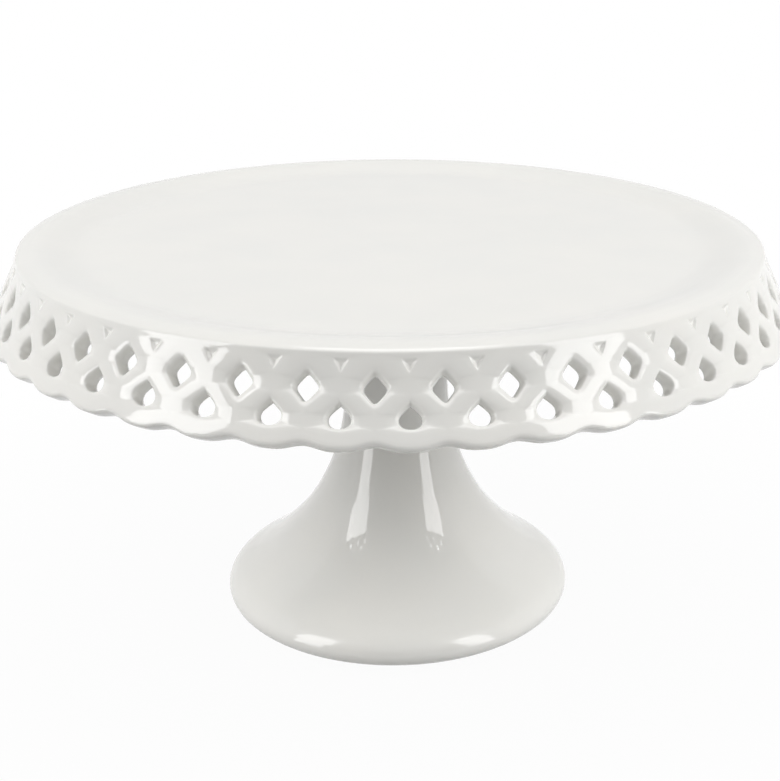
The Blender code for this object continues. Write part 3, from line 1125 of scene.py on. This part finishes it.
@dataclass(frozen=True)
class GlazedPorcelain:
    """White porcelain under a clear glaze, bare on the foot ring where it stood in the kiln."""

    colour: Colour = (0.82, 0.81, 0.775)
    pooled: Colour = (0.80, 0.795, 0.765)
    biscuit: Colour = (0.78, 0.75, 0.70)
    speck: Colour = (0.60, 0.57, 0.52)
    gloss: float = 0.035
    gloss_spread: float = 0.03
    bare_roughness: float = 0.85
    bare_height: float = 0.5 * MM

    def material(self, name: str, groups: NodeGroups, has_foot: bool) -> bpy.types.Material:
        """Makes the glaze: a tone that pools, sparse pinholes, slow waves, and a rough bare foot ring.

        Args:
            name: The material's name.
            groups: The shared effects.
            has_foot: Whether the piece stands on an unglazed ring.

        Returns:
            The material.
        """
        bench = Bench(name)
        waves = bench.group(groups.unevenness, Slow_Scale=38.0, Fine_Scale=260.0).outputs
        specks = bench.group(groups.specks, Scale=55.0, Size=0.012).outputs["Mask"]
        colour = bench.blend(bench.ramp(waves["Tone"], 0.0, 1.0, *NOISE_SPAN), self.colour, self.pooled)
        colour = bench.blend(bench.ramp(specks, 0.0, 0.7, 0.0, 1.0), colour, self.speck)
        roughness = bench.ramp(waves["Tone"], self.gloss, self.gloss + self.gloss_spread, *NOISE_SPAN)
        if has_foot:
            bare = bench.ramp(bench.height_above(), 1.0, 0.0, 0.6 * self.bare_height, self.bare_height)
            colour = bench.blend(bare, colour, self.biscuit)
            rough = bench.ramp(bare, 0.0, self.bare_roughness, 0.0, 1.0)
            roughness = calculate(bench.tree, "MAXIMUM", rough, roughness)
        bench.coat(colour, roughness)
        set_inputs(bench.shader, IOR=1.52)
        bench.bump(waves["Height"], 0.12, 0.4 * MM)
        return bench.material


@dataclass(frozen=True)
class TurnedMetal:
    """A lathe-turned metal: brass for the insert, bright zinc plate for screw and washer."""

    colour: Colour
    dull: Colour
    roughness: float

    def material(self, name: str, groups: NodeGroups) -> bpy.types.Material:
        """Makes the metal: turning marks in tone, gloss and relief.

        Args:
            name: The material's name.
            groups: The shared effects.

        Returns:
            The material.
        """
        bench = Bench(name)
        marks = bench.group(groups.turning, Scale=900.0).outputs["Marks"]
        colour = bench.blend(bench.ramp(marks, 0.0, 1.0, *NOISE_SPAN), self.colour, self.dull)
        bench.coat(colour, bench.spread(marks, self.roughness))
        set_inputs(bench.shader, Metallic=1.0)
        bench.bump(marks, 0.2, 0.05 * MM)
        return bench.material


@dataclass(frozen=True)
class SoftRing:
    """A moulded elastomer: pale silicone for the gasket, black rubber for the washer."""

    colour: Colour
    bloom: Colour
    roughness: float

    def material(self, name: str, groups: NodeGroups) -> bpy.types.Material:
        """Makes the elastomer: a faint bloom, fine specks of dust and a soft grain.

        Args:
            name: The material's name.
            groups: The shared effects.

        Returns:
            The material.
        """
        bench = Bench(name)
        waves = bench.group(groups.unevenness, Slow_Scale=260.0, Fine_Scale=1800.0).outputs
        dust = bench.group(groups.specks, Scale=700.0, Size=0.2).outputs["Mask"]
        colour = bench.blend(bench.ramp(waves["Tone"], 0.0, 0.6, 0.35, 0.7), self.colour, self.bloom)
        colour = bench.blend(bench.ramp(dust, 0.0, 0.25, 0.0, 1.0), colour, self.bloom)
        bench.coat(colour, bench.spread(waves["Tone"], self.roughness))
        bench.bump(waves["Height"], 0.25, 0.05 * MM)
        return bench.material


class Share(Enum):
    """Which part of a lamp's light reaches the object."""

    SOFT = "diffuse"
    SHINE = "glossy"
    ALL = "all"


@dataclass(frozen=True)
class SoftBox:
    """A flat lamp of the studio that faces a place on the stand's axis.

    Attributes:
        name: The lamp's name.
        azimuth: Where it stands round the axis, in degrees to the right of the front.
        elevation: How high it stands over the place that it faces, in degrees.
        distance: How far it is from that place.
        aim_height: The height of that place.
        size: The lamp's width and height.
        radiance: How bright it looks.
        share: The part of its light that it gives.
    """

    name: str
    azimuth: float
    elevation: float
    distance: float
    aim_height: float
    size: tuple[float, float]
    radiance: float
    share: Share

    def build(self) -> None:
        """Places the lamp, unseen by the camera."""
        data = bpy.data.lights.new(self.name, "AREA")
        data.shape = "RECTANGLE"
        data.size, data.size_y = self.size
        data.energy = self.radiance * math.pi * self.size[0] * self.size[1]
        lamp = bpy.data.objects.new(self.name, data)
        azimuth, elevation = math.radians(self.azimuth), math.radians(self.elevation)
        level = self.distance * math.cos(elevation)
        height = self.aim_height + self.distance * math.sin(elevation)
        lamp.location = (level * math.sin(azimuth), -level * math.cos(azimuth), height)
        lamp.rotation_euler = (math.pi / 2 - elevation, 0.0, azimuth)
        lamp.visible_camera = False
        lamp.visible_diffuse = self.share is not Share.SHINE
        lamp.visible_glossy = self.share is not Share.SOFT
        bpy.context.scene.collection.objects.link(lamp)


@dataclass
class Studio:
    """The white studio: camera, floor, soft boxes and a white room that is dark in front.

    Attributes:
        camera_turns: The camera's tilt, roll and turn round the upright, in degrees.
        room: How bright the room is in front and elsewhere.
        room_fade: Between which directions, as their Y, it goes from one to the other.
        floor_white: The white that the floor shows by itself, at the stand and away from it.
        floor_fade: Between which distances from the axis it goes from one to the other.
    """

    camera_place: tuple[float, float, float] = (8.16 * MM, -489.84 * MM, 266.5 * MM)
    camera_turns: tuple[float, float, float] = (68.39, 0.692, -2.444)
    lens: float = 64.907
    shift: tuple[float, float] = (-0.1085, 0.0305)
    soft_boxes: tuple[SoftBox, ...] = (
        SoftBox("left_strip", -55.0, 0.0, 0.6, 0.13, (0.19, 0.26), 5.1, Share.SHINE),
        SoftBox("right_strip", 51.0, 0.0, 0.6, 0.13, (0.19, 0.26), 4.8, Share.SHINE),
        SoftBox("left_sheet", -55.5, 0.0, 0.6, 0.43, (0.266, 0.34), 5.1, Share.SHINE),
        SoftBox("right_sheet", 51.0, 0.0, 0.6, 0.44, (0.233, 0.36), 4.8, Share.SHINE),
        SoftBox("hem_shine", 0.0, 63.0, 1.0, 0.1, (1.6, 0.35), 2.4, Share.SHINE),
        SoftBox("left_side", -85.0, 30.0, 1.4, 0.1, (1.0, 1.0), 4.9, Share.SOFT),
        SoftBox("right_side", 85.0, 30.0, 1.4, 0.1, (1.0, 1.0), 4.6, Share.SOFT),
        SoftBox("right_front", 55.0, 20.0, 1.4, 0.1, (1.0, 1.0), 0.8, Share.SOFT),
        SoftBox("front_light", 0.0, 30.0, 1.4, 0.1, (1.0, 1.0), 1.9, Share.SOFT),
        SoftBox("top_light", 180.0, 75.0, 1.352, 0.144, (0.6, 0.6), 3.1, Share.ALL),
        SoftBox("back_light", 180.0, 35.0, 1.4, 0.1, (1.0, 1.0), 0.5, Share.SOFT),
    )
    room: tuple[float, float] = (0.03, 0.9)
    room_fade: tuple[float, float] = (-0.8, -0.3)
    floor_reach: float = 6.0
    floor_white: tuple[float, float] = (0.96, 1.0)
    floor_fade: tuple[float, float] = (0.07, 0.30)

    def build_camera(self) -> None:
        """Puts the camera where the photo was taken from: tilted, rolled, then turned round the upright."""
        data = bpy.data.cameras.new("camera")
        data.lens = self.lens
        data.sensor_width = 36.0
        data.shift_x, data.shift_y = self.shift
        data.clip_start = 0.01
        camera = bpy.data.objects.new("camera", data)
        tilt, roll, yaw = (math.radians(turn) for turn in self.camera_turns)
        aim = Matrix.Rotation(yaw, 4, "Z") @ Matrix.Rotation(tilt, 4, "X") @ Matrix.Rotation(roll, 4, "Z")
        camera.matrix_world = Matrix.Translation(self.camera_place) @ aim
        bpy.context.scene.collection.objects.link(camera)
        bpy.context.scene.camera = camera

    def build_world(self) -> None:
        """White to the camera, dark to matt surfaces, and to shiny ones a white room, dark in front."""
        world = bpy.data.worlds.new("studio")
        world.use_nodes = True
        tree = world.node_tree
        shade = tree.nodes["Background"]
        shade.inputs["Color"].default_value = (1.0, 1.0, 1.0, 1.0)
        rays = add_node(tree, "LightPath").outputs
        place = add_node(tree, "TexCoord")
        split = add_node(tree, "SeparateXYZ")
        (start, end), (low, high) = self.room_fade, self.room
        room = add_node(tree, "MapRange", From_Min=start, From_Max=end, To_Min=low, To_Max=high)
        shiny = calculate(tree, "MAXIMUM", rays["Is Glossy Ray"], rays["Is Transmission Ray"])
        light = calculate(tree, "MULTIPLY", shiny, room.outputs[0])
        join(
            tree,
            (place.outputs["Generated"], split.inputs[0]),
            (split.outputs["Y"], room.inputs["Value"]),
            (calculate(tree, "MAXIMUM", light, rays["Is Camera Ray"]), shade.inputs["Strength"]),
        )
        bpy.context.scene.world = world

    def build_floor(self) -> None:
        """A wide white floor that is mostly white to the camera and keeps a part of the stand's shadow."""
        mesh = bpy.data.meshes.new("floor")
        reach = self.floor_reach
        corners = [(-reach, -reach, 0.0), (reach, -reach, 0.0), (reach, reach, 0.0), (-reach, reach, 0.0)]
        mesh.from_pydata(corners, [], [(0, 1, 2, 3)])
        floor = bpy.data.objects.new("floor", mesh)
        floor.location.z = -0.1 * MM
        bpy.context.scene.collection.objects.link(floor)
        bench = Bench("floor_white")
        tree = bench.tree
        set_inputs(bench.shader, Base_Color=(0.4, 0.4, 0.4, 1.0), Roughness=0.8, Specular_IOR_Level=0.2)
        glow = add_node(tree, "Emission")
        mix = add_node(tree, "MixShader")
        rays = add_node(tree, "LightPath").outputs
        away = add_node(tree, "VectorMath")
        away.operation = "LENGTH"
        white = bench.ramp(away.outputs["Value"], *self.floor_white, *self.floor_fade)
        seen = calculate(tree, "MAXIMUM", rays["Is Camera Ray"], rays["Is Glossy Ray"])
        seen = calculate(tree, "MAXIMUM", seen, rays["Is Transmission Ray"])
        join(
            tree,
            (bench.place, away.inputs[0]),
            (calculate(tree, "MULTIPLY", seen, white), mix.inputs[0]),
            (bench.shader.outputs[0], mix.inputs[1]),
            (glow.outputs[0], mix.inputs[2]),
            (mix.outputs[0], tree.nodes["Material Output"].inputs["Surface"]),
        )
        mesh.materials.append(bench.material)

    def build(self) -> None:
        """Builds the studio."""
        bpy.context.scene.view_settings.view_transform = "Standard"
        self.build_camera()
        for box in self.soft_boxes:
            box.build()
        self.build_world()
        self.build_floor()


def hand_over(piece: bpy.types.Object, node: str, material: bpy.types.Material) -> None:
    """Dresses a piece and lets it stand for its CAD node.

    Args:
        piece: The new piece.
        node: The node that it replaces.
        material: Its material.
    """
    piece.data.materials.append(material)
    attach(piece, BODY)
    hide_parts(node)
    LOG.info("%s stands for %s: %d faces", piece.name, node, len(piece.data.polygons))


def main() -> None:
    """Builds and dresses the stand, then the studio round it."""
    groups = NodeGroups()
    glaze = GlazedPorcelain()
    plate_glaze = glaze.material("plate_glaze", groups, has_foot=False)
    pedestal_glaze = glaze.material("pedestal_glaze", groups, has_foot=True)
    hand_over(PiercedPlate().build(), "plate", plate_glaze)
    hand_over(TrumpetPedestal().build(), "pedestal", pedestal_glaze)
    brass = TurnedMetal((0.74, 0.56, 0.26), (0.60, 0.44, 0.20), 0.32)
    zinc = TurnedMetal((0.66, 0.67, 0.69), (0.54, 0.55, 0.57), 0.34)
    silicone = SoftRing((0.86, 0.86, 0.84), (0.78, 0.78, 0.76), 0.5)
    rubber = SoftRing((0.025, 0.025, 0.026), (0.07, 0.07, 0.07), 0.7)
    finishes = {
        Slot.BRASS: brass.material("turned_brass", groups),
        Slot.STEEL: zinc.material("bright_zinc", groups),
        Slot.SILICONE: silicone.material("pale_silicone", groups),
        Slot.RUBBER: rubber.material("moulded_rubber", groups),
    }
    for piece, node, slot in ClampFastening().build():
        hand_over(piece, node, finishes[slot])
    Studio().build()


if __name__ == "__main__":
    main()
